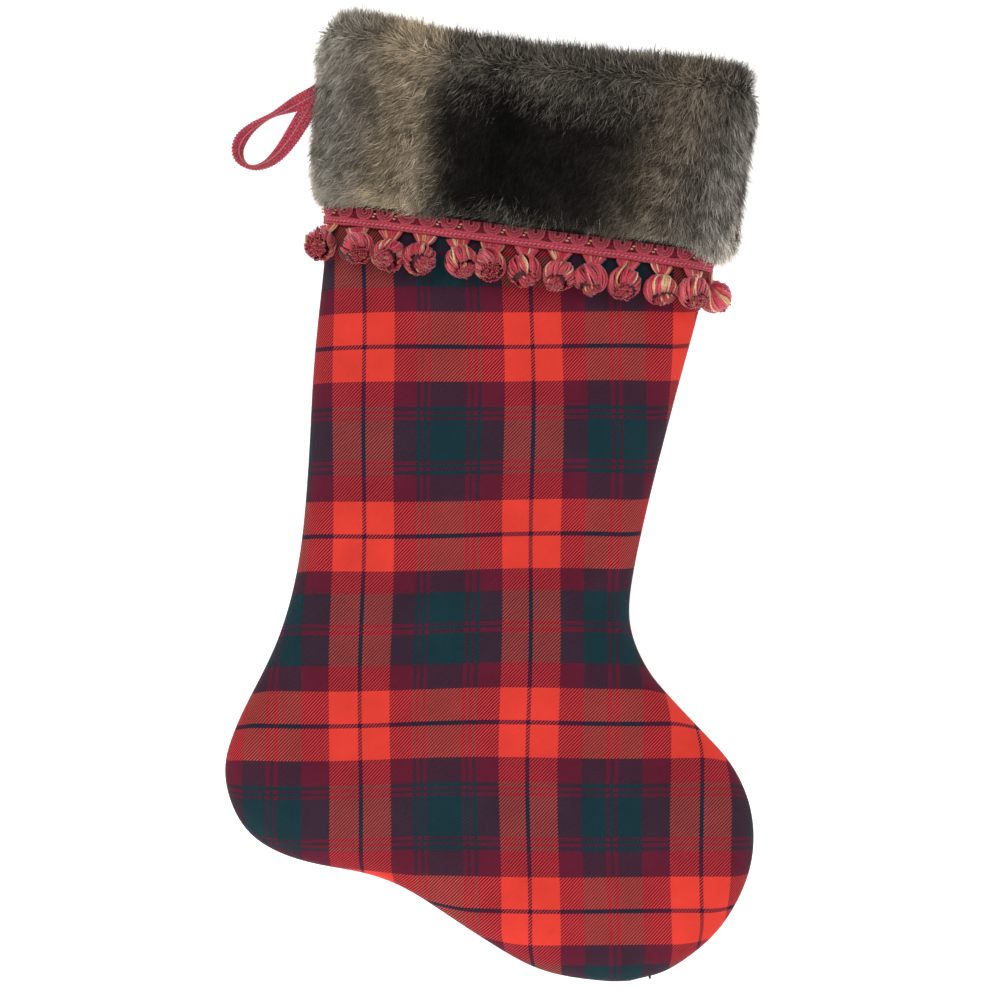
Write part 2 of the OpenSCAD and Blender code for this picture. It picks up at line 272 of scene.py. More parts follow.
def yarnMaterial(name, shades, turns, dark, sheen=0.35, roughness=0.55, fade=0.0):
    # rayon yarn, spun and twisted: silky gleam, fine slanting fibre lines of painted shade where it dives
    # under, a touch lighter on their crests.
    # turns is the lines along a tube, dark the depth of their painted shade, and fade where the painted shade
    # towards its end starts, 0 for never
    material, tree, shader = startMaterial(name, roughness, sheen, 0.35, 0.45)
    place = addNode(tree, "UVMap", {"uv_map": "OFBake"})
    parts = addNode(tree, "SeparateXYZ", links={0: (place, "UV")})
    tone = addNode(tree, "ValToRGB", links={0: (parts, "X")})
    setStops(tone, [(i / len(shades), c) for i, c in enumerate(shades)], "CONSTANT")
    around = addNode(tree, "Math", {"operation": "MULTIPLY", 1: float(len(shades))}, {0: (parts, "X")})
    along = addNode(tree, "Math", {"operation": "MULTIPLY_ADD", 1: float(turns)},
                    {0: (parts, "Y"), 2: (around, 0)})
    lay = addNode(tree, "Math", {"operation": "PINGPONG", 1: 0.5}, {0: (along, 0)})
    # painted shade along the fibre lines, down to dark, and a touch of painted highlight, up to 1.08, on
    # their crests
    grooveShade = addNode(tree, "MapRange", {"From Max": 0.5, "To Min": dark, "To Max": 1.08}, {"Value": (lay, 0)})
    shaded = addNode(tree, "VectorMath", {"operation": "SCALE"},
                     {0: (tone, "Color"), "Scale": (grooveShade, "Result")})
    colour = (shaded, "Vector")
    if fade:
        # the last of each strand, down to its cut end, is painted a deeper red: painted shade, for the
        # skirt's strands under the ball and round its opening
        deep = addNode(tree, "MapRange", {"From Min": fade, "From Max": 1.0, "To Max": 0.85},
                       {"Value": (parts, "Y")})
        blend = addNode(tree, "Mix", {"data_type": "RGBA", 7: linear("#94202e")},
                        {0: (deep, "Result"), 6: colour})
        colour = (blend, 2)
    tree.links.new(colour[0].outputs[colour[1]], shader.inputs["Base Color"])
    bump = addNode(tree, "Bump", {"Strength": 0.35, "Distance": 0.0002}, {"Height": (lay, 0)})
    tree.links.new(bump.outputs["Normal"], shader.inputs["Normal"])
    return material


def yarnUv(marks, tones, count):
    # the tone's column, a little in from its edges, and the way along
    return np.stack([(tones[marks[:, 0].astype(int)] + 0.15 + 0.7 * marks[:, 1]) / count, marks[:, 2]], 1)


# hanging loop: a flat braid, one free cord

loopPlan = {
    "reach": 53.9 * mm, "halfEye": 9.5 * mm, "dip": 42.0, "width": 9 * mm, "root": 1.2 * mm,
    "stack": 0.95 * mm, "stacked": 0.12, "parting": 0.16, "steps": 760, "pitch": 2.7 * mm,
    "flatness": 0.7, "beadPitch": 1.4 * mm, "beadR": 0.5 * mm, "fineR": 0.34 * mm, "fineLift": 0.85 * mm}
braidShades = ["#cf4a5e", "#b93349", "#e0727f", "#a92a40"]


def loopLine(q):
    # the braid's centreline, and its turn about it: 0 lies flat to the front, a quarter turn stands on edge.
    # Both ends lie one on the other at the root and part as they leave it.
    # sin(x) * (1 - cos(x)) comes to 1.299 at most
    swell = (1 - np.cos(2 * math.pi * q)) / 2
    u = loopPlan["reach"] * swell
    w = loopPlan["halfEye"] * np.sin(2 * math.pi * q) * swell * 2 / 1.299
    f = np.clip((0.5 - np.abs(q - 0.5) - loopPlan["stacked"]) / loopPlan["parting"], 0, 1)
    parted = f * f * (3 - 2 * f)
    c, s = math.cos(math.radians(loopPlan["dip"])), math.sin(math.radians(loopPlan["dip"]))
    y = loopPlan["stack"] * (1 - parted) * np.where(q < 0.5, -1, 1)
    pivot = np.array(joints["loop_swing"]["pos_m"])
    turn = np.interp(q, [0.06, 0.14, 0.2, 0.25, 0.31, 0.38, 0.46, 0.54, 0.62, 0.7, 0.78, 0.86, 0.94],
                     [0, -12, -56, -88, -70, -46, -58, -82, -66, -36, -14, -4, 0])
    turn = np.convolve(np.pad(turn, 20, mode="edge"), np.ones(41) / 41, "valid")
    return pivot + np.stack([-u * c - w * s, y, -u * s + w * c], -1), np.radians(turn)


loopStart = math.acos(1 - 2 * loopPlan["root"] / loopPlan["reach"]) / (2 * math.pi)
q = np.linspace(loopStart, 1 - loopStart, loopPlan["steps"])
loopPath, loopTurn = loopLine(q)
ahead = unit(np.gradient(loopPath, axis=0))
lie = unit(np.cross(ahead, [0, 1, 0]))
stand = np.cross(ahead, lie)
loopSide = np.cos(loopTurn)[:, None] * lie + np.sin(loopTurn)[:, None] * stand
loopFace = -np.sin(loopTurn)[:, None] * lie + np.cos(loopTurn)[:, None] * stand
ropes, ropeR = 4, loopPlan["width"] / 9.6
strands = [rope(loopPath, loopSide, loopFace, ropeR * 1.12, loopPlan["pitch"], 1 if k % 2 else -1,
                offset=(2 * k - 3) * ropeR, flat=loopPlan["flatness"]) for k in range(ropes)]
loopRun = np.concatenate([[0], np.cumsum(np.linalg.norm(np.diff(loopPath, axis=0), axis=1))])
for edge in (-1, 1):   # a cord coiled along each edge, which gives it its beads
    coil = 2 * math.pi * loopRun / loopPlan["beadPitch"]
    away = loopPlan["width"] / 2 - 1.55 * loopPlan["beadR"] + loopPlan["beadR"] * np.cos(coil)
    path = loopPath + loopSide * (edge * away)[:, None] \
        + loopFace * (loopPlan["beadR"] * np.sin(coil))[:, None]
    strands.append(tubes([path], loopSide[None], loopPlan["beadR"] * 0.95, 6))
for face in (-1, 1):   # a fine cord couched down the middle of each face
    path = loopPath + face * loopFace * loopPlan["fineLift"]
    strands.append(tubes([path], loopSide[None], loopPlan["fineR"], 6))
tones = np.concatenate([np.tile([0, 1], ropes), [0, 0, 2, 2]]).astype(float)
points, faces, marks = joined(strands)
braid = makePiece("hangingBraid", points, faces, uv=yarnUv(marks, tones, 4))
braidYarn = yarnMaterial("rayonBraidYarn", braidShades, 90, 0.5)
finishPiece(braid, "loop", braidYarn, ["hanging_loop"])


# leg panels: tartan twill over a lining

clothPlan = {
    "thickness": 1.6 * mm, "liningThickness": 0.8 * mm, "roll": 10 * mm, "rollGain": 4.5 * mm,
    "ripple": 0.5 * mm, "levels": 2, "seamReach": 1.2 * mm}
tartanPlan = {
    "warpStart": 44.35 * mm, "weftStart": -77.0 * mm, "waleX": 1.66 * mm, "waleZ": 1.75 * mm}
# stripes in half millimetres of cloth: r scarlet, n navy, c crimson, g bottle green
warpStripes = [("r", 28.7), ("n", 3.2), ("r", 28.7), ("c", 22.8), ("g", 3.2), ("c", 3.4), ("g", 3),
               ("c", 3.4), ("g", 36), ("c", 3.2), ("g", 3.8), ("c", 3.4), ("g", 3.4), ("c", 23), ("r", 27),
               ("n", 4), ("r", 28), ("c", 23.5), ("g", 24), ("c", 4), ("g", 4), ("c", 4.2), ("g", 24),
               ("c", 28)]
weftStripes = [("r", 31), ("n", 4.6), ("r", 32), ("c", 26), ("g", 3), ("c", 3), ("g", 3), ("c", 3), ("g", 41),
               ("c", 3), ("g", 3.3), ("c", 3.3), ("g", 3.3), ("c", 27), ("r", 32), ("n", 5), ("r", 31),
               ("c", 22), ("g", 31), ("c", 4), ("g", 2.4), ("c", 4), ("g", 31), ("c", 25.5)]
threads = {"r": "#cb352a", "n": "#26102c", "c": "#530f26", "g": "#0a2a32"}


def stripeNodes(tree, source, stripes, start, sign):
    # the set of stripes, repeated from start on, the way that sign gives
    period = sum(w for _, w in stripes) / 2 * mm
    place = addNode(tree, "Math", {"operation": "MULTIPLY_ADD", 1: sign / period, 2: -sign * start / period},
                    {0: source})
    turn = addNode(tree, "Math", {"operation": "FRACT"}, {0: (place, 0)})
    ramp = addNode(tree, "ValToRGB", links={0: (turn, 0)})
    stops, at = [], 0.0
    for kind, w in stripes:
        stops.append((at, threads[kind]))
        at += w / 2 * mm / period
    setStops(ramp, stops, "CONSTANT")
    return ramp


def tartanMaterial():
    # wool-blend tartan, 2/2 twill: matt, a fine slanting rib with painted shade between the ribs, and a soft
    # pale bloom where it turns away
    material, tree, shader = startMaterial("woolTartanTwill", 0.85, 0.08, 0.4, 0.15)
    shader.inputs["Sheen Tint"].default_value = linear("#ffd9cf")
    place = addNode(tree, "UVMap", {"uv_map": "clothGrain"})
    parts = addNode(tree, "SeparateXYZ", links={0: (place, "UV")})
    warp = stripeNodes(tree, (parts, "X"), warpStripes, tartanPlan["warpStart"], 1)
    weft = stripeNodes(tree, (parts, "Y"), weftStripes, tartanPlan["weftStart"], -1)
    slant = addNode(tree, "Math", {"operation": "MULTIPLY", 1: 1 / tartanPlan["waleX"]}, {0: (parts, "X")})
    wale = addNode(tree, "Math", {"operation": "MULTIPLY_ADD", 1: -1 / tartanPlan["waleZ"]},
                   {0: (parts, "Y"), 2: (slant, 0)})
    wander = addNode(tree, "TexNoise", {"Scale": 700.0, "Detail": 2.0}, {"Vector": (place, "UV")})
    shift = addNode(tree, "Math", {"operation": "MULTIPLY_ADD", 1: 0.22}, {0: (wander, "Fac"), 2: (wale, 0)})
    rib = addNode(tree, "Math", {"operation": "PINGPONG", 1: 0.5}, {0: (shift, 0)})
    # one side of each rib shows warp, the other weft, and between the ribs the darker of the two threads is
    # painted shade
    pick = addNode(tree, "MapRange", {"From Min": 0.14, "From Max": 0.32}, {"Value": (rib, 0)})
    top = addNode(tree, "Mix", {"data_type": "RGBA"},
                  {0: (pick, "Result"), 6: (warp, "Color"), 7: (weft, "Color")})
    deep = addNode(tree, "Mix", {"data_type": "RGBA", "blend_type": "DARKEN", 0: 1.0},
                   {6: (warp, "Color"), 7: (weft, "Color")})
    falls = addNode(tree, "MapRange", {"From Min": 0.08, "From Max": 0.19, "To Max": 0.9},
                    {"Value": (rib, 0)})
    climbs = addNode(tree, "MapRange", {"From Min": 0.26, "From Max": 0.37, "To Min": 1.0, "To Max": 0.0},
                     {"Value": (rib, 0)})
    # where the painted shade between the ribs lies
    valleyShade = addNode(tree, "Math", {"operation": "MULTIPLY"}, {0: (falls, "Result"), 1: (climbs, "Result")})
    cloth = addNode(tree, "Mix", {"data_type": "RGBA"}, {0: (valleyShade, 0), 6: (top, 2), 7: (deep, 2)})
    heather = addNode(tree, "TexNoise", {"Scale": 1400.0, "Detail": 3.0, "Roughness": 0.7},
                      {"Vector": (place, "UV")})
    patch = addNode(tree, "TexNoise", {"Scale": 45.0, "Detail": 3.0}, {"Vector": (place, "UV")})
    worn = addNode(tree, "Math", {"operation": "MULTIPLY_ADD", 1: 0.4},
                   {0: (heather, "Fac"), 2: (patch, "Fac")})
    level = addNode(tree, "MapRange", {"From Min": 0.35, "From Max": 1.05, "To Min": 0.84, "To Max": 1.16},
                    {"Value": (worn, 0)})
    toned = addNode(tree, "VectorMath", {"operation": "SCALE"}, {0: (cloth, 2), "Scale": (level, "Result")})
    tree.links.new(toned.outputs["Vector"], shader.inputs["Base Color"])
    relief = addNode(tree, "Math", {"operation": "MULTIPLY_ADD", 1: 0.5}, {0: (heather, "Fac"), 2: (rib, 0)})
    bump = addNode(tree, "Bump", {"Strength": 0.45, "Distance": 0.0003}, {"Height": (relief, 0)})
    tree.links.new(bump.outputs["Normal"], shader.inputs["Normal"])
    return material


def liningMaterial():
    # cotton lining, plain weave: matt, a fine square grain
    material, tree, shader = startMaterial("cottonLining", 0.85, 0.15, 0.5, 0.3)
    place = addNode(tree, "TexCoord")
    grain = addNode(tree, "TexNoise", {"Scale": 1500.0, "Detail": 2.0}, {"Vector": (place, "Object")})
    colour = addNode(tree, "ValToRGB", links={0: (grain, "Fac")})
    setStops(colour, [(0.3, "#3f0e18"), (0.7, "#6b1c2a")])
    tree.links.new(colour.outputs["Color"], shader.inputs["Base Color"])
    bump = addNode(tree, "Bump", {"Strength": 0.3, "Distance": 0.0002}, {"Height": (grain, "Fac")})
    tree.links.new(bump.outputs["Normal"], shader.inputs["Normal"])
    return material


def nearestSeam(flat, seam):
    # nearest point of the seam's edges, for each point of the cloth seen flat
    a, b = seam[:, 0], seam[:, 1]
    ab = b - a
    best, where = np.full(len(flat), 1e9), np.zeros_like(flat)
    for p0, d in zip(a, ab):
        f = np.clip(((flat - p0) @ d) / max(d @ d, 1e-12), 0, 1)
        spot = p0 + f[:, None] * d
        gap = np.linalg.norm(flat - spot, axis=1)
        near = gap < best
        best[near], where[near] = gap[near], spot[near]
    return best, where


def clothPanel(node, pieceName, front, thickness, levels, ripple):
    # one layer of cloth: the outer side of a CAD shell, rounded, given its grain and its thickness
    piece = copyNode(node, pieceName)
    side = -1 if front else 1
    for polygon in piece.data.polygons:
        polygon.select = polygon.normal.y * side < 0.05
    bpy.ops.object.mode_set(mode="EDIT")
    bpy.ops.mesh.delete(type="FACE")
    bpy.ops.mesh.select_all(action="SELECT")
    bpy.ops.mesh.tris_convert_to_quads(face_threshold=math.pi, shape_threshold=math.pi)
    bpy.ops.object.mode_set(mode="OBJECT")
    if levels:
        smooth = piece.modifiers.new("round", "SUBSURF")
        smooth.levels = smooth.render_levels = levels
        bpy.ops.object.modifier_apply(modifier="round")
    points = pointsOf(piece)
    mesh = piece.data
    used = {}
    for polygon in mesh.polygons:
        for key in polygon.edge_keys:
            used[key] = used.get(key, 0) + 1
    rim = np.array([key for key, n in used.items() if n == 1])
    flat = points[:, [0, 2]]
    seamEdges = rim[np.abs(points[rim][:, :, 1]).max(1) < clothPlan["seamReach"]]
    depth, foot = nearestSeam(flat, flat[seamEdges])
    rolled = clothPlan["rollGain"] * np.clip(1 - depth / clothPlan["roll"], 0, 1) ** 2
    grain = flat + unit(foot - flat) * rolled[:, None]
    # the cloth was not cut dead on its grain: stripes wander by a millimetre or so
    x, z = flat[:, 0] / mm, flat[:, 1] / mm
    grain = grain + np.stack([1.1 * np.sin(0.017 * z + 0.6) + 0.5 * np.sin(0.05 * z + 0.03 * x),
                              1.2 * np.sin(0.016 * x + 2.3) + 0.5 * np.sin(0.045 * x - 0.02 * z)], 1) * mm
    if ripple:
        # slack in the cloth: low swells, and small puckers pulled in by the seam's stitches
        swell = np.sin(0.052 * x + 0.031 * z + 0.6) * np.sin(0.043 * z - 0.027 * x + 1.9) \
            + 0.5 * np.sin(0.11 * x - 0.07 * z) * np.sin(0.09 * z + 2.2)
        run = 0.9 * x + 0.95 * z
        pucker = np.sin(2 * math.pi * run / 14) * np.exp(-((depth - 5 * mm) / (4 * mm)) ** 2)
        clear = np.clip((-0.045 - flat[:, 1]) / 0.03, 0, 1)
        rise = clear * ripple * (0.7 * (swell + 1.5) * np.clip(depth / (18 * mm), 0, 1) + 0.45 * pucker)
        points[:, 1] += side * rise
        setPoints(piece, points)
    layer = mesh.uv_layers.new(name="clothGrain")
    corners = np.zeros(len(mesh.loops), np.int32)
    mesh.loops.foreach_get("vertex_index", corners)
    layer.data.foreach_set("uv", grain[corners].ravel())
    wall = piece.modifiers.new("wall", "SOLIDIFY")
    wall.thickness = thickness
    wall.offset = -1
    choose(piece)
    bpy.ops.object.modifier_apply(modifier="wall")
    bpy.ops.object.shade_smooth()
    area = sum(p.area for p in piece.data.polygons) / 2
    print(pieceName, "faces", len(piece.data.polygons), "one side", round(area, 4))
    return piece


tartan, liningCloth = tartanMaterial(), liningMaterial()
for front, end in ((True, "front"), (False, "back")):
    panel = clothPanel(end + "_panel", end + "Panel", front, clothPlan["thickness"], clothPlan["levels"],
                       clothPlan["ripple"])
    finishPiece(panel, "stocking", tartan, [end + "_panel"])
    inner = clothPanel(end + "_lining", end + "Lining", front, clothPlan["liningThickness"], 1, 0)
    finishPiece(inner, "stocking", liningCloth, [end + "_lining"])
print("leg done")


# rings round the leg, cut level with the mouth

panelPoints = pointsOf(nodes["front_panel"])[:, [0, 2]]
heelCorner = panelPoints[panelPoints[:, 1].argmax()]
toeCorner = panelPoints[panelPoints.sum(1).argmax()]
acrossWay = np.insert(unit(toeCorner - heelCorner), 1, 0)
downWay = np.array([acrossWay[2], 0, -acrossWay[0]])
mouth = np.array([heelCorner[0], 0, heelCorner[1]])
mouthWidth = float(np.linalg.norm(toeCorner - heelCorner))


def ringAt(node, level, count):
    # the outermost line round a band at a distance down from the mouth, evenly spaced from the heel side
    work = bmesh.new()
    work.from_mesh(nodes[node].data)
    bmesh.ops.remove_doubles(work, verts=work.verts, dist=0.00001)
    everything = work.verts[:] + work.edges[:] + work.faces[:]
    cut = bmesh.ops.bisect_plane(work, geom=everything, plane_co=mouth + downWay * level, plane_no=downWay,
                                 clear_inner=True, clear_outer=True)["geom_cut"]
    joins = {}
    for e in cut:
        if isinstance(e, bmesh.types.BMEdge):
            for v in e.verts:
                joins.setdefault(v, []).append(e.other_vert(v))
    best, left = None, set(joins)
    while left:
        start = min(left, key=lambda v: v.co.x)
        line, last, here = [start], None, start
        while True:
            left.discard(here)
            onward = [v for v in joins[here]
                      if v is not last and (v in left or (v is start and len(line) > 2))]
            if not onward or onward[0] is start:
                break
            last, here = here, onward[0]
            line.append(here)
        loop = np.array([v.co[:] for v in line])
        size = np.linalg.norm(np.diff(loop, axis=0, append=loop[:1]), axis=1).sum()
        if best is None or size > best[0]:
            best = (size, loop)
    work.free()
    loop = best[1]
    if loop[len(loop) // 4, 1] > 0:
        loop = np.roll(loop[::-1], 1, axis=0)
    closed = np.concatenate([loop, loop[:1]])
    run = np.concatenate([[0], np.cumsum(np.linalg.norm(np.diff(closed, axis=0), axis=1))])
    even = np.arange(count) / count * run[-1]
    ring = np.stack([np.interp(even, run, closed[:, k]) for k in range(3)], 1)
    window = max(3, int(round(5 * mm / run[-1] * count))) | 1
    padded = np.concatenate([ring[-window:], ring, ring[:window]])
    kernel = np.ones(window) / window
    soft = np.stack([np.convolve(padded[:, k], kernel, "same") for k in range(3)], 1)[window:-window]
    return soft, run[-1]


# fringe header: gimp braid

headerPlan = {
    "top": 83.5 * mm, "low": 91.0 * mm, "steps": 960,
    "beadR": 0.62 * mm, "beadPitch": 2.2 * mm, "ribR": 0.75 * mm, "ribPitch": 1.9 * mm,
    "scallopPitch": 10.9 * mm, "cordR": 0.6 * mm}
gimpShades = ["#c03f52", "#ad3347", "#d8707c", "#e8b9a0", "#deb883", "#9c2c3e"]
topRing, _ = ringAt("fringe_header", headerPlan["top"], headerPlan["steps"])
lowRing, headerRun = ringAt("fringe_header", headerPlan["low"], headerPlan["steps"])
ringWay = unit(np.roll(lowRing, -1, 0) - np.roll(lowRing, 1, 0))
ringUp = unit(topRing - lowRing)
hem = pointsOf(nodes["fringe_header"]) - mouth   # the band's own lower edge is not quite level with the mouth
hem = hem[hem @ downWay > headerPlan["low"]]
hem = hem[np.argsort(hem @ acrossWay)]
drop = np.interp((lowRing - mouth) @ acrossWay, hem @ acrossWay, hem @ downWay) - headerPlan["low"]
lowRing = lowRing - ringUp * drop[:, None]
ringOut = unit(np.cross(ringWay, ringUp))
if ringOut[headerPlan["steps"] // 4, 1] > 0:
    ringOut = -ringOut


def onHeader(run, height, lift):
    # a place on the header: distance round it, height above its lower edge, and lift off its face
    at = (np.asarray(run, float) / headerRun * headerPlan["steps"]) % headerPlan["steps"]
    i = at.astype(int)
    f = (at - i)[..., None]
    j = (i + 1) % headerPlan["steps"]
    base = lowRing[i] * (1 - f) + lowRing[j] * f
    up = ringUp[i] * (1 - f) + ringUp[j] * f
    out = ringOut[i] * (1 - f) + ringOut[j] * f
    height, lift = np.asarray(height, float)[..., None], np.asarray(lift, float)[..., None]
    return base + up * (height - 0.5 * mm) + out * lift, out, up


def headerRows():
    # beaded cords along the lower edge, and ribbed rows above them
    run = np.linspace(0, headerRun * 0.9995, headerPlan["steps"])
    rows, tones = [], []
    for height, radius, pitch, hand, pair in (
            (0.5, headerPlan["beadR"], headerPlan["beadPitch"], 1, (0, 1)),
            (1.8, headerPlan["beadR"], headerPlan["beadPitch"], -1, (1, 2)),
            (3.1, headerPlan["ribR"], headerPlan["ribPitch"], 1, (0, 1)),
            (10.2, headerPlan["ribR"], headerPlan["ribPitch"], -1, (1, 0))):
        wave = 0.12 * mm * np.sin(run / (3.1 * mm) + height)
        path, out, up = onHeader(run, height * mm + wave, np.zeros(len(run)))
        rows.append(rope(path, up, out, radius * 1.25, pitch, hand, lift=0.1 * mm, flat=0.8, sides=5))
        tones += list(pair)
    return rows, tones


def scallops():
    # three nested cords dip in a round U, one arches over to the next U, and gold picks stand between
    count = int(round(headerRun / headerPlan["scallopPitch"]))
    pitch = headerRun / count
    cords, tones = [], []
    steps = 26
    for k in range(count):
        centre = (k + 0.5) * pitch
        for radius, tone in ((4.0, 0), (2.7, 1), (1.3, 0)):
            r = radius * mm
            turn = np.linspace(-0.12, 1.12, steps) * math.pi
            run = centre - r * np.cos(turn)
            height = 7.9 * mm - r * np.where(np.sin(turn) > 0, np.sin(turn), np.sin(turn) * 4)
            path, out, up = onHeader(run, height, np.full(steps, 0.45 * mm))
            cords.append(tubes([path], unit(np.cross(out, np.gradient(path, axis=0)))[None],
                               headerPlan["cordR"], 6))
            tones.append(tone)
        run = centre + pitch / 2 + np.linspace(-1, 1, steps) * 1.6 * mm   # arch to the next U
        height = 9.0 * mm + 0.9 * mm * np.sin(np.linspace(0, 1, steps) * math.pi)
        path, out, up = onHeader(run, height, np.full(steps, 0.6 * mm))
        cords.append(tubes([path], up[None], headerPlan["cordR"], 6))
        tones.append(0)
        if k % 3 != 1:   # gold picks, at two places of every three
            for step, h in ((-0.4, 5.5), (0.4, 6.9)):
                run = centre + pitch / 2 + (step + np.linspace(-0.4, 0.4, steps)) * mm
                height = np.full(steps, h * mm)
                lift = 1.0 * mm + 0.6 * mm * np.sin(np.linspace(0, 1, steps) * math.pi)
                path, out, up = onHeader(run, height, lift)
                cords.append(tubes([path[::3]], up[None, ::3], 0.42 * mm, 6))
                tones.append(4 if draw.random() < 0.75 else 3)
    return cords, tones


def softCopy(node, pieceName, levels):
    # a rounded copy of one of the frame's soft bands
    piece = copyNode(node, pieceName)
    bpy.ops.object.mode_set(mode="EDIT")
    bpy.ops.mesh.select_all(action="SELECT")
    bpy.ops.mesh.tris_convert_to_quads(face_threshold=math.pi, shape_threshold=math.pi)
    bpy.ops.object.mode_set(mode="OBJECT")
    smooth = piece.modifiers.new("round", "SUBSURF")
    smooth.levels = smooth.render_levels = levels
    bpy.ops.object.modifier_apply(modifier="round")
    bpy.ops.object.shade_smooth()
    return piece


def bandMaterial(name, dark, light, cell):
    # woven or pile band: matt, small even cells, deep shade between them
    material, tree, shader = startMaterial(name, 0.9, 0.15, 0.5, 0.2)
    place = addNode(tree, "TexCoord")
    cells = addNode(tree, "TexVoronoi", {"Scale": 1.0 / cell}, {"Vector": (place, "Object")})
    colour = addNode(tree, "ValToRGB", links={0: (cells, "Distance")})
    setStops(colour, [(0.1, light), (0.7, dark)])
    tree.links.new(colour.outputs["Color"], shader.inputs["Base Color"])
    bump = addNode(tree, "Bump", {"Strength": 0.6, "Distance": 0.0003}, {"Height": (cells, "Distance")})
    tree.links.new(bump.outputs["Normal"], shader.inputs["Normal"])
    return material


tape = softCopy("fringe_header", "headerTape", 2)
# the tape is painted darker than the yarn laid on it: painted shade in the gaps between the cords
shadedTapeWeave = bandMaterial("rayonHeaderTapeShaded", "#5a1222", "#962c40", 0.8 * mm)
finishPiece(tape, "stocking", shadedTapeWeave, ["fringe_header"])
rows, rowTones = headerRows()
curls, curlTones = scallops()
gimpYarn = yarnMaterial("rayonGimpYarn", gimpShades, 8, 0.72)
gimpRowYarn = yarnMaterial("rayonGimpCord", gimpShades, 1, 0.95)
for name, parts, partTones, material in (("headerRows", rows, rowTones, gimpRowYarn),
                                         ("headerScallops", curls, curlTones, gimpYarn)):
    points, faces, marks = joined(parts)
    piece = makePiece(name, points, faces, uv=yarnUv(marks, np.array(partTones, float), len(gimpShades)))
    finishPiece(piece, "stocking", material, ["header_stitches"] if name == "headerRows" else [])
    print(name, len(piece.data.polygons))
print("header done")


# tassels

tasselPlan = {
    "reach": 13.3 * mm, "ballR": 8.3 * mm, "strands": 52, "strandR": 0.54 * mm, "neck": 5.5 * mm,
    "throatR": 1.35 * mm, "neckHalf": 6.3 * mm, "neckYarns": 16, "tufts": 56,
    "coreShare": 0.72}
# raspberry in several depths and a rose light, then two golds
tasselShades = ["#cc3449", "#d64659", "#b8293d", "#9a1f30", "#dc6672", "#d3485a", "#d8a36c", "#e6c193"]
sway = {1: 3.5, 2: 4, 3: 1.8, 4: -1, 5: 3, 13: -3}   # a few hang askew: mm towards the next one round


def tasselFrame(number):
    # hinge, and the tassel's own axes: along the hinge, out from the leg, up
    joint = joints[f"tassel_{number:02d}_swing"]
    hinge, axis = np.array(joint["pos_m"]), unit(joint["axis"])
    points = pointsOf(nodes[f"tassel_{number:02d}"]) - hinge
    size = np.linalg.norm(points, axis=1)
    down = unit(points[size > 0.97 * size.max()].mean(0))
    across = unit(axis - down * (axis @ down))
    return hinge, across, np.cross(-down, across), -down


def pickShade(shades, odds=None):
    return float(draw.choice(shades, p=odds))


def tasselSkirt(centre):
    # strands laid over the ball from the tie down, a few of them gold; each ball sits a little askew
    lean = unit(np.array([draw.normal(0, 0.3), draw.normal(-0.28, 0.26), 1]))
    ballX = unit(np.cross([0, 1, 0], lean))
    ballY = np.cross(lean, ballX)
    skew = draw.choice([-1, 1]) * draw.uniform(0.25, 0.9)
    squash = draw.uniform(0.86, 0.98)
    lobe = draw.uniform(0, 2 * math.pi)
    t = np.linspace(0, 1, 11)
    dip = np.clip(0.16 - t, 0, 1)[:, None] / 0.16   # the first sixth of a strand rises into the neck
    neckFoot = np.array([0, 0, tasselPlan["reach"] - tasselPlan["neck"]])
    paths, sides, radii = [], [], []
    for k in range(tasselPlan["strands"]):
        turn = 2 * math.pi * (k + draw.normal(0, 0.16)) / tasselPlan["strands"]
        polar = 0.16 + t * (2.18 + draw.normal(0, 0.08))
        size = tasselPlan["ballR"] - tasselPlan["strandR"] + draw.normal(0, 0.38) * mm
        size = size * (1 + 0.09 * math.cos(turn - lobe))
        wide = size * np.sin(polar) ** 0.85
        high = size * squash * np.cos(polar)
        a = turn + skew * (t - 0.5) * 1.3 + 0.05 * np.sin(t * 9 + k)
        around = np.cos(a)[:, None] * ballX + np.sin(a)[:, None] * ballY
        path = wide[:, None] * around + high[:, None] * lean
        path = centre + path * (1 - dip) + dip * neckFoot * 0.99 + dip * 0.9 * mm * around
        paths.append(path)
        sides.append(np.cross(unit(path - centre), unit(np.gradient(path, axis=0))))
        radii.append(tasselPlan["strandR"] * (0.5 + 0.5 * np.sin(np.clip(polar, 0, math.pi)) ** 0.5))
    gold = set()
    for _ in range(7):
        g = int(draw.integers(tasselPlan["strands"]))
        gold.add(g)
        if draw.random() < 0.2:
            gold.add((g + 1) % tasselPlan["strands"])
    tones = [pickShade([6, 7]) if k in gold else pickShade([0, 1, 2, 5, 4, 3], [.24, .2, .16, .16, .14, .1])
             for k in range(tasselPlan["strands"])]
    return tubes(paths, np.array(sides), np.array(radii), 5, 0.8), tones, lean


def cutEnds(centre, lean):
    # the yarn's cut ends, packed in the opening under the ball, mostly in the deepest raspberries as painted
    # shade in that hollow
    tail = unit(-lean + np.array([draw.normal(0, 0.35), draw.normal(0, 0.3), 0]))
    tailX = unit(np.cross([0, 1, 0], tail))
    tailY = np.cross(tail, tailX)
    f = np.linspace(0, 1, 5)[:, None]
    paths, sides = [], []
    for k in range(tasselPlan["tufts"]):
        a = k * 2.4   # near the golden angle, for an even spread
        r = math.sqrt((k + 0.5) / tasselPlan["tufts"])
        way = math.cos(a) * tailX + math.sin(a) * tailY
        start = centre - lean * 2.5 * mm + way * r * 1.7 * mm
        end = centre + tail * (8.2 - 1.8 * r + draw.normal(0, 0.6)) * mm + way * r * 4.6 * mm
        paths.append(start + (end - start) * f + way * (1.2 * mm) * np.sin(f * math.pi) * r)
        sides.append(np.broadcast_to(np.cross(tail, way), (5, 3)))
    # mostly the deepest shades: painted shade in the hollow under the ball
    tones = [pickShade([3, 2, 0, 6], [.5, .3, .1, .1]) for _ in paths]
    return tubes(paths, np.array(sides), 0.55 * mm, 5), tones


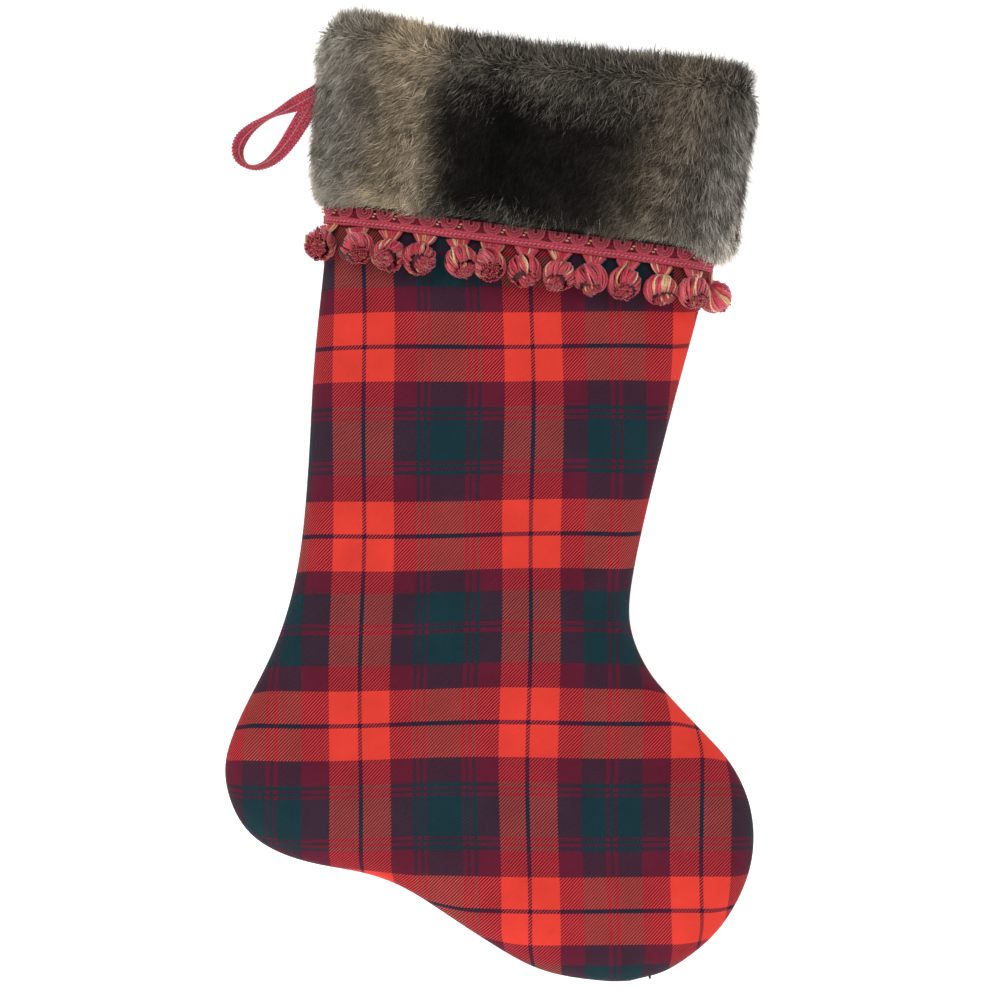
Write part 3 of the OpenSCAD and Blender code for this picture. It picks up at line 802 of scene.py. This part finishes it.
def tasselNeck():
    # two flat bundles that leave the header apart and meet in the tie
    yarns = tasselPlan["neckYarns"]
    bow = draw.uniform(0.1, 0.9, 2) * mm
    g = np.linspace(0, 1, 9)
    belly = np.sin(g * math.pi)
    paths, sides = [], []
    for k in range(yarns):
        f = (k + 0.5) / yarns * 2 - 1
        group = 0 if f < 0 else 1
        x0 = f * tasselPlan["neckHalf"]
        x1 = f * tasselPlan["throatR"]
        x = x0 + (x1 - x0) * (g ** 0.85) + (1 if group else -1) * bow[group] * belly * (0.6 + abs(f))
        y = (0.45 if k % 2 else -0.05) * mm * (1 - g) + (0.5 * belly * mm) * (1 if k % 3 else -0.6)
        z = 0.75 * mm - g * (tasselPlan["neck"] + 1.0 * mm)
        paths.append(np.stack([x, y, z], 1))
        sides.append(np.broadcast_to([1.0, 0, 0], (9, 3)))
    tones = [pickShade([0, 1, 5, 4, 6, 7], [.28, .25, .17, .1, .12, .08]) for _ in paths]
    return tubes(paths, np.array(sides), 0.5 * mm, 5), tones


def tasselTie():
    # three turns of yarn round the throat
    a = np.linspace(0, 6 * math.pi, 44)
    path = np.stack([1.62 * mm * np.cos(a), 1.62 * mm * np.sin(a), (-4.3 - 1.2 * a / a[-1]) * mm], 1)
    return tubes([path], np.broadcast_to([0, 0, 1.0], (1, 44, 3)), 0.36 * mm, 5), [2.0]


def tasselShape(number):
    hinge, across, out, up = tasselFrame(number)
    centre = np.array([0, 0, -tasselPlan["reach"]])
    skirt, skirtTones, lean = tasselSkirt(centre)
    ends, endTones = cutEnds(centre, lean)
    neck, neckTones = tasselNeck()
    tie, tieTones = tasselTie()
    points, faces, marks = joined([skirt, ends, neck, tie])
    tones = skirtTones + endTones + neckTones + tieTones
    # all of it hangs a little to one side of plumb where the row is crowded
    tilt = -math.asin(sway.get(number, draw.normal(0, 0.5)) * mm / tasselPlan["reach"])
    x, z = points[:, 0].copy(), points[:, 2].copy()
    points[:, 0] = x * math.cos(tilt) - z * math.sin(tilt)
    points[:, 2] = x * math.sin(tilt) + z * math.cos(tilt)
    world = hinge + points[:, :1] * across + points[:, 1:2] * out + points[:, 2:] * up
    return world, faces, yarnUv(marks, np.array(tones), len(tasselShades)), hinge + up * centre[2]


def tasselCore(number, centre, material):
    # the wound core inside the skirt of yarn
    deselect()
    bpy.ops.mesh.primitive_uv_sphere_add(segments=20, ring_count=12, location=centre,
                                         radius=tasselPlan["ballR"] * tasselPlan["coreShare"])
    core = bpy.context.active_object
    core.name = f"tassel{number:02d}Core"
    settle(core)
    bpy.ops.object.shade_smooth()
    return finishPiece(core, f"tassel_{number:02d}", material)


def coreMaterial():
    # the same yarn wound on itself, deep in shadow
    material, tree, shader = startMaterial("rayonWoundCore", 0.8)
    place = addNode(tree, "TexCoord")
    fuzz = addNode(tree, "TexNoise", {"Scale": 1200.0, "Detail": 2.0}, {"Vector": (place, "Object")})
    colour = addNode(tree, "ValToRGB", links={0: (fuzz, "Fac")})
    setStops(colour, [(0.3, "#2a060b"), (0.7, "#4f1019")])
    tree.links.new(colour.outputs["Color"], shader.inputs["Base Color"])
    return material


tasselYarn = yarnMaterial("rayonTasselYarn", tasselShades, 9, 0.78, sheen=0.5, roughness=0.38, fade=0.76)
woundCore = coreMaterial()
tasselCount = sum(name.startswith("tassel_") for name in nodes)
for number in range(1, tasselCount + 1):
    points, faces, uv, centre = tasselShape(number)
    tassel = makePiece(f"tassel{number:02d}", points, faces, uv=uv)
    finishPiece(tassel, f"tassel_{number:02d}", tasselYarn, [f"tassel_{number:02d}"])
    tasselCore(number, centre, woundCore)
print("tassels done", len(tassel.data.polygons))


# fur cuff

furPlan = {
    "hairs": 30000, "sections": 8, "rootDepth": 6 * mm, "sink": 1.6 * mm, "length": 9.2 * mm,
    "width": 0.3 * mm, "lock": 1.5 * mm, "pull": 0.42, "rows": 40, "tuck": 3.0, "cornerTuck": 4.6, "sag": 4.2}
# the pile's colours from the heel side to the toe side, at distances across the mouth in mm
furShades = [(-18, "#c4bfb4"), (-6, "#989285"), (6, "#8a847a"), (24, "#83796b"), (33, "#94866f"),
             (44, "#a5957f"), (50, "#9f907b"), (57, "#6b6154"), (62, "#2c2824"), (75, "#1b1917"),
             (92, "#0e0d0c"), (112, "#201d1a"), (138, "#211e1b"), (150, "#3a342e"), (160, "#574f44"),
             (172, "#6b6154"), (182, "#746b5f"), (193, "#625c54"), (204, "#8c867e"), (219, "#c9c3b9")]
furReach = (-20.0, 225.0)


def furMaterial():
    # acrylic fur pile: each hair dark at its root and paler to the tip, guard hairs nearly white
    material, tree, shader = startMaterial("acrylicFurPile", 0.7, 0.04, 0.4, 0.1)
    place = addNode(tree, "UVMap", {"uv_map": "OFBake"})
    parts = addNode(tree, "SeparateXYZ", links={0: (place, "UV")})
    band = addNode(tree, "ValToRGB", links={0: (parts, "X")})
    span = furReach[1] - furReach[0]
    setStops(band, [((a - furReach[0]) / span, c) for a, c in furShades])
    rows = addNode(tree, "Math", {"operation": "MULTIPLY", 1: float(furPlan["rows"])}, {0: (parts, "Y")})
    row = addNode(tree, "Math", {"operation": "FLOOR"}, {0: (rows, 0)})
    along = addNode(tree, "Math", {"operation": "FRACT"}, {0: (rows, 0)})
    share = addNode(tree, "Math", {"operation": "DIVIDE", 1: furPlan["rows"] - 1.0}, {0: (row, 0)})
    curve = addNode(tree, "Math", {"operation": "POWER", 1: 1.6}, {0: (share, 0)})
    tone = addNode(tree, "MapRange", {"To Min": 0.28, "To Max": 2.3}, {"Value": (curve, 0)})
    tip = addNode(tree, "MapRange", {"To Min": 0.3, "To Max": 1.3}, {"Value": (along, 0)})
    both = addNode(tree, "Math", {"operation": "MULTIPLY"}, {0: (tone, "Result"), 1: (tip, "Result")})
    hair = addNode(tree, "VectorMath", {"operation": "SCALE"}, {0: (band, "Color"), "Scale": (both, 0)})
    tree.links.new(hair.outputs["Vector"], shader.inputs["Base Color"])
    return material


def undercoatMaterial():
    # the dense short pile under the guard hair: dull, streaked, nearly black between the locks
    material, tree, shader = startMaterial("acrylicUndercoat", 0.95, 0.03, specular=0.1)
    place = addNode(tree, "TexCoord")
    stretch = addNode(tree, "Mapping", {"Scale": (1.0, 1.0, 0.25)}, {"Vector": (place, "Object")})
    streak = addNode(tree, "TexNoise", {"Scale": 900.0, "Detail": 3.0}, {"Vector": (stretch, "Vector")})
    colour = addNode(tree, "ValToRGB", links={0: (streak, "Fac")})
    setStops(colour, [(0.3, "#070606"), (0.75, "#1d1b19")])
    tree.links.new(colour.outputs["Color"], shader.inputs["Base Color"])
    bump = addNode(tree, "Bump", {"Strength": 0.6, "Distance": 0.0008}, {"Height": (streak, "Fac")})
    tree.links.new(bump.outputs["Normal"], shader.inputs["Normal"])
    return material


def waves(x, y, seed):
    # a smooth wandering value, about -1 to 1
    pick = np.random.default_rng(seed)
    total = np.zeros_like(x)
    for k in range(5):
        a, scale = pick.uniform(0, 2 * math.pi), pick.uniform(0.09, 0.3)
        total += np.sin(scale * (x * math.cos(a) + y * math.sin(a)) + pick.uniform(0, 6.3))
    return total / 3


def furRoots(piece, count):
    # random places on the pile's outer side, and the way out of the surface at each
    mesh = piece.data
    mesh.calc_loop_triangles()
    tri = np.zeros(len(mesh.loop_triangles) * 3, np.int32)
    mesh.loop_triangles.foreach_get("vertices", tri)
    corner = pointsOf(piece)[tri.reshape(-1, 3)]
    cross = np.cross(corner[:, 1] - corner[:, 0], corner[:, 2] - corner[:, 0])
    size = np.linalg.norm(cross, axis=1) / 2
    way = unit(cross)
    centre = corner.mean(1) - mouth
    across, y = centre @ acrossWay, centre[:, 1]
    spine = np.clip(across, 18 * mm, mouthWidth - 18 * mm)
    outside = unit(np.stack([across - spine, y], 1))
    outward = outside[:, :1] * acrossWay + outside[:, 1:] * np.array([0, 1.0, 0])
    keep = (np.sum(way * outward, 1) > 0.05) | (way @ downWay < -0.45)
    weight = np.where(keep, size, 0)
    which = draw.choice(len(size), count, p=weight / weight.sum())
    a, b = np.sqrt(draw.random(count)), draw.random(count)
    c = corner[which]
    spot = c[:, 0] * (1 - a)[:, None] + c[:, 1] * (a * (1 - b))[:, None] + c[:, 2] * (a * b)[:, None]
    # the way out turns smoothly over the rim and the lower lip
    soft = unit(way[which] * 0.55 + outward[which] * 0.45)
    return spot, soft


def tuckIn(points):
    # the pile lies closer at the heel side, and its corners are rounded
    where = points - mouth
    across, down = where @ acrossWay / mm, where @ downWay / mm
    near = np.clip((14 - across) / 30, 0, 1)
    low, rim = np.clip((down - 58) / 26, 0, 1), np.clip((6 - down) / 12, 0, 1)
    corner = furPlan["cornerTuck"] * (low ** 2 + 0.6 * rim ** 2)
    shift = near * near * (3 - 2 * near) * (furPlan["tuck"] + corner)
    # the rim sags between its two ends
    sag = np.interp(across, [18, 50, 95, 140, 185], [0, 0.85, 1, 0.6, 0]) * np.clip((24 - down) / 24, 0, 1)
    return points + (shift * mm)[:, None] * acrossWay + (furPlan["sag"] * sag * mm)[:, None] * downWay


def locksOf(across, down, front):
    # the lock that each hair is in: its lean, rise and tone, and where its tip is, across and down
    lock = furPlan["lock"] / mm
    cellX, cellY = np.floor(across / lock), np.floor(down / (lock * 1.8))
    key = ((cellX + 100) * 4001 + (cellY + 100) * 2 + front).astype(np.int64)
    names, which = np.unique(key, return_inverse=True)
    pick = np.random.default_rng(11)
    lean, rise, tone = [pick.normal(0, spread, len(names))[which] for spread in (14, 1, 1)]
    alongX, alongY = [pick.random(len(names))[which] for _ in range(2)]
    tipX, tipY = (cellX + alongX) * furPlan["lock"] / mm, (cellY + alongY) * furPlan["lock"] / mm * 1.8
    return lean, rise, tone, tipX, tipY


def hairUv(across, down, lockTone):
    # each hair's colour across the cuff, and its tone: paler along both edges, and varied at random from lock
    # to lock
    edge = np.clip((24 - down) / 22, 0, 1) * 0.18 + np.clip((down - 58) / 26, 0, 1) * 0.24
    lively = 1 + 1.2 * np.clip((across - 145) / 25, 0, 1)   # the toe side is the most mottled
    mottle = lively * (0.16 * lockTone + draw.normal(0, 0.2, len(across)))
    tone = 0.34 + edge + 0.1 * waves(across, down, 9) + mottle
    tone = tone + np.where(draw.random(len(across)) < 0.1, 0.35, 0)
    row = np.clip(tone * furPlan["rows"], 0, furPlan["rows"] - 1).astype(int)
    slant = 0.2 * (down - 42) * np.clip((across - 120) / 30, 0, 1)   # the toe side's pale band leans
    spread = across + slant + draw.normal(0, 3.0, len(across)) + 2.5 * waves(across, down, 3)
    # grey hairs over the dark saddle near the rim and the lower edge
    stray = 5 * waves(across, down, 31)
    grey = 0.8 * np.clip((29 - down + stray) / 30, 0, 1) + 0.55 * np.clip((down - 69 + stray) / 18, 0, 1)
    grey = (draw.random(len(across)) < grey) & (spread > 57) & (spread < 155)
    spread = np.where(grey, 191 + draw.normal(0, 4, len(across)), spread)
    u = np.clip((spread - furReach[0]) / (furReach[1] - furReach[0]), 0.002, 0.998)
    along = np.array([0.04, 0.6, 0.04, 0.6, 0.96])
    v = (row[:, None] + along[None]) / furPlan["rows"]
    return np.stack([np.broadcast_to(u[:, None], v.shape), v], -1).reshape(-1, 2)


def hairBlades(root, shoulder, tip, way):
    # each hair as a flat blade of 5 points, bent over its shoulder and narrowing to its tip
    levels = np.array([0.15, 0.6, 1.0])[:, None, None]
    curve = (1 - levels) ** 2 * root + 2 * levels * (1 - levels) * shoulder + levels ** 2 * tip
    curve = curve.transpose(1, 0, 2)
    ahead = unit(np.gradient(curve, axis=1))
    side = unit(np.cross(ahead, way[:, None]) + draw.normal(0, 0.25, (len(root), 1, 3)))
    half = furPlan["width"] / 2 * (0.7 + 0.7 * draw.random(len(root)))
    half = half[:, None, None] * np.array([1.0, 0.8])[None, :, None]
    left, right = curve[:, :2] - side[:, :2] * half, curve[:, :2] + side[:, :2] * half
    points = np.concatenate([left, right, curve[:, 2:]], 1)
    first = (np.arange(len(root)) * 5)[:, None, None]
    quads = (first + np.array([[0, 2, 3, 1]])[None]).reshape(-1, 4)
    tips = (first + np.array([[1, 3, 4]])[None]).reshape(-1, 3)
    return points.reshape(-1, 3), [quads, tips]


def growFur(spot, way):
    where = spot - mouth
    across, down = where @ acrossWay / mm, where @ downWay / mm
    front = spot[:, 1] < 0
    share = across / (mouthWidth / mm)
    # combed towards the heel side, upright in the dark middle, fanned out at the toe side
    lean = np.interp(share, [-0.1, 0.1, 0.3, 0.45, 0.7, 0.85, 0.95, 1.08], [22, 38, 40, 22, 18, 38, 8, -30])
    lean = lean + 14 * waves(across, down + 300 * front, 5)
    lockLean, lockRise, lockTone, tipX, tipY = locksOf(across, down, front)
    lean = np.radians(lean + lockLean + draw.normal(0, 7, len(spot)))
    # near the rim the comb swings round to stand up and over, never lying flat both ways from one line
    rim = np.clip((3 - down + draw.normal(0, 3, len(spot)) + 3 * waves(across, down, 7)) / 12, 0, 1)
    rim = rim * rim * (3 - 2 * rim)
    lean = lean + rim * (math.radians(168) - lean)
    comb = -np.sin(lean)[:, None] * acrossWay + np.cos(lean)[:, None] * downWay
    rim = rim[:, None]
    stir = draw.normal(0, 0.22, (len(spot), 3))
    comb = comb + 0.5 * rim * way + stir * (0.9 + rim + 1.5 * np.exp(-((rim - 0.5) / 0.35) ** 2))
    comb = unit(comb - 0.95 * way * np.sum(comb * way, 1, keepdims=True))
    length = furPlan["length"] * (0.7 + 0.5 * draw.random(len(spot))) * (1 - 0.3 * rim[:, 0])
    rise = furPlan["rootDepth"] - furPlan["sink"] + (0.45 * lockRise + draw.normal(0, 0.9, len(spot))) * mm
    # a stray few stand proud
    rise = rise + rim[:, 0] * draw.uniform(-1.0, 4.5, len(spot)) * mm
    stray = draw.random(len(spot)) < 0.07 + 0.1 * rim[:, 0]
    rise = rise + np.where(stray, draw.uniform(0.5, 3.6 + 3.4 * rim[:, 0], len(spot)), 0) * mm
    root = spot - way * furPlan["rootDepth"]
    # hairs that would hang past the cuff's lower edge start higher
    lowest = np.interp(across, [0, 60, 110, 165, 190, 202], [84.6, 83.8, 82.6, 81.8, 83, 88])
    lowest = lowest + 1.2 * np.sin(across / 7.5)
    over = down + (comb @ downWay) * length / mm - lowest - draw.normal(0, 1.5, len(spot))
    root = root - downWay * (np.clip(over, 0, 12) * mm)[:, None]
    tip = root + way * rise[:, None] + comb * length[:, None]
    # tips gather towards their lock's own tip
    gather = ((tipX - across) * mm)[:, None] * acrossWay + ((tipY - down) * mm)[:, None] * 0.3 * downWay
    gather = gather - way * np.sum(gather * way, 1, keepdims=True)
    tip = tip + furPlan["pull"] * gather
    bend = draw.normal(0, 0.35, (len(spot), 3)) * mm
    shoulder = root + way * (rise * 0.72)[:, None] + comb * (length * 0.3)[:, None] + bend * 0.5
    points, faces = hairBlades(root, shoulder, tip, way)
    return tuckIn(points), faces, hairUv(across, down, lockTone)


pile = copyNode("cuff_fur", "cuffUndercoat")
spot, way = furRoots(pile, furPlan["hairs"] * furPlan["sections"])
cuffPile = furMaterial()
across = (spot - mouth) @ acrossWay
order = np.argsort(across + np.where(spot[:, 1] < 0, 0, 10))
for k, part in enumerate(np.array_split(order, furPlan["sections"])):
    points, faces, uv = growFur(spot[part], way[part])
    hair = makePiece(f"cuffHair{k + 1}", points, faces, smooth=False, uv=uv)
    finishPiece(hair, "stocking", cuffPile)
choose(pile)
bpy.ops.object.mode_set(mode="EDIT")
bpy.ops.mesh.select_all(action="SELECT")
bpy.ops.transform.shrink_fatten(value=-furPlan["rootDepth"] * 0.7)
bpy.ops.object.mode_set(mode="OBJECT")
setPoints(pile, tuckIn(pointsOf(pile)))
undercoat = undercoatMaterial()
finishPiece(pile, "stocking", undercoat, ["cuff_fur"])
facingPile = bandMaterial("acrylicShortPile", "#12100e", "#4f4a43", 1.3 * mm)
for end in ("front", "back"):   # the cuff's turn-in, seen inside the mouth
    facing = softCopy(end + "_facing", end + "Facing", 2)
    points = pointsOf(facing)
    where = points - mouth
    ruffle = waves(where @ acrossWay / mm * 3, where @ downWay / mm * 3, 21)
    normals = np.array([v.normal[:] for v in facing.data.vertices])
    setPoints(facing, tuckIn(points - normals * (0.15 + 0.1 * ruffle)[:, None] * mm))
    finishPiece(facing, "stocking", facingPile, [end + "_facing"])
print("fur done")


# pieces kept from the frame get their own finish

def threadMaterial(name, dark, light):
    # spun polyester thread: slightly glossy, a fine twist across it, its grooves painted darker as painted
    # shade
    material, tree, shader = startMaterial(name, 0.5, 0.3, 0.4, 0.5)
    place = addNode(tree, "TexCoord")
    twist = addNode(tree, "TexWave", {"bands_direction": "DIAGONAL", "Scale": 900.0, "Distortion": 1.5},
                    {"Vector": (place, "Object")})
    # the twist's grooves get the dark end of the ramp: painted shade
    colour = addNode(tree, "ValToRGB", links={0: (twist, "Fac")})
    setStops(colour, [(0.1, dark), (0.8, light)])
    tree.links.new(colour.outputs["Color"], shader.inputs["Base Color"])
    bump = addNode(tree, "Bump", {"Strength": 0.3, "Distance": 0.0002}, {"Height": (twist, "Fac")})
    tree.links.new(bump.outputs["Normal"], shader.inputs["Normal"])
    return material


redThread = threadMaterial("polyesterThreadRed", "#5a1420", "#8e2434")
knitGround = bandMaterial("polyesterKnitGround", "#1c1a18", "#4a4640", 0.9 * mm)
for name, material in (("seam_stitches", redThread), ("loop_stitches", redThread), ("loop_tack", redThread),
                       ("cuff_ground", knitGround)):
    nodes[name].data.materials.clear()
    nodes[name].data.materials.append(material)


# studio

def studioMaterial(name, colour, glow):
    # matt painted board, seen from its front only, so that other views look through it
    material, tree, shader = startMaterial(name, 0.9, specular=0.1)
    place = addNode(tree, "TexCoord")
    grain = addNode(tree, "TexNoise", {"Scale": 3.0, "Detail": 2.0}, {"Vector": (place, "Object")})
    tint = addNode(tree, "ValToRGB", links={0: (grain, "Fac")})
    setStops(tint, [(0.3, colour), (0.8, "#ffffff")])
    tree.links.new(tint.outputs["Color"], shader.inputs["Base Color"])
    shader.inputs["Emission Color"].default_value = linear("#ffffff")
    shader.inputs["Emission Strength"].default_value = glow
    clear = addNode(tree, "BsdfTransparent")
    facing = addNode(tree, "NewGeometry")
    mix = addNode(tree, "MixShader", links={0: (facing, "Backfacing"), 1: (shader, 0), 2: (clear, 0)})
    out = [n for n in tree.nodes if n.bl_idname == "ShaderNodeOutputMaterial"][0]
    tree.links.new(mix.outputs[0], out.inputs["Surface"])
    return material


studioPlan = {"wall": 3.0, "gap": 22 * mm, "drop": 0.14}
deselect()
bpy.ops.mesh.primitive_plane_add(size=studioPlan["wall"], rotation=(math.pi / 2, 0, 0),
                                 location=(middle[0], high[1] + studioPlan["gap"], middle[2]))
wall = bpy.context.active_object
wall.name = "backWall"
deselect()
bpy.ops.mesh.primitive_plane_add(size=studioPlan["wall"],
                                 location=(middle[0], 0, low[2] - studioPlan["drop"]))
floor = bpy.context.active_object
floor.name = "paleFloor"
board = studioMaterial("paintedBoard", "#fbfaf8", 0.5)
for panel in (wall, floor):
    settle(panel)
    panel.data.materials.append(board)

lights = {   # place, size and power of each soft lamp, all aimed at the stocking
    "keyLamp": ((-0.9, -1.7, 1.1), 1.1, 21.0),
    "fillLamp": ((1.3, -1.9, 0.3), 1.3, 10.5),
    "rimLamp": ((0.3, 1.6, 1.2), 1.2, 14.0)}
for name, (place, size, power) in lights.items():
    lamp = bpy.data.lights.new(name, "AREA")
    lamp.size, lamp.energy = size, power
    holder = bpy.data.objects.new(name, lamp)
    bpy.context.scene.collection.objects.link(holder)
    holder.location = place
    holder.rotation_euler = (Vector(middle) - holder.location).to_track_quat("-Z", "Y").to_euler()
world = bpy.data.worlds.new("softRoom")
bpy.context.scene.world = world
world.use_nodes = True
world.node_tree.nodes["Background"].inputs["Color"].default_value = linear("#ffffff")
world.node_tree.nodes["Background"].inputs["Strength"].default_value = 0.42
print("studio done")
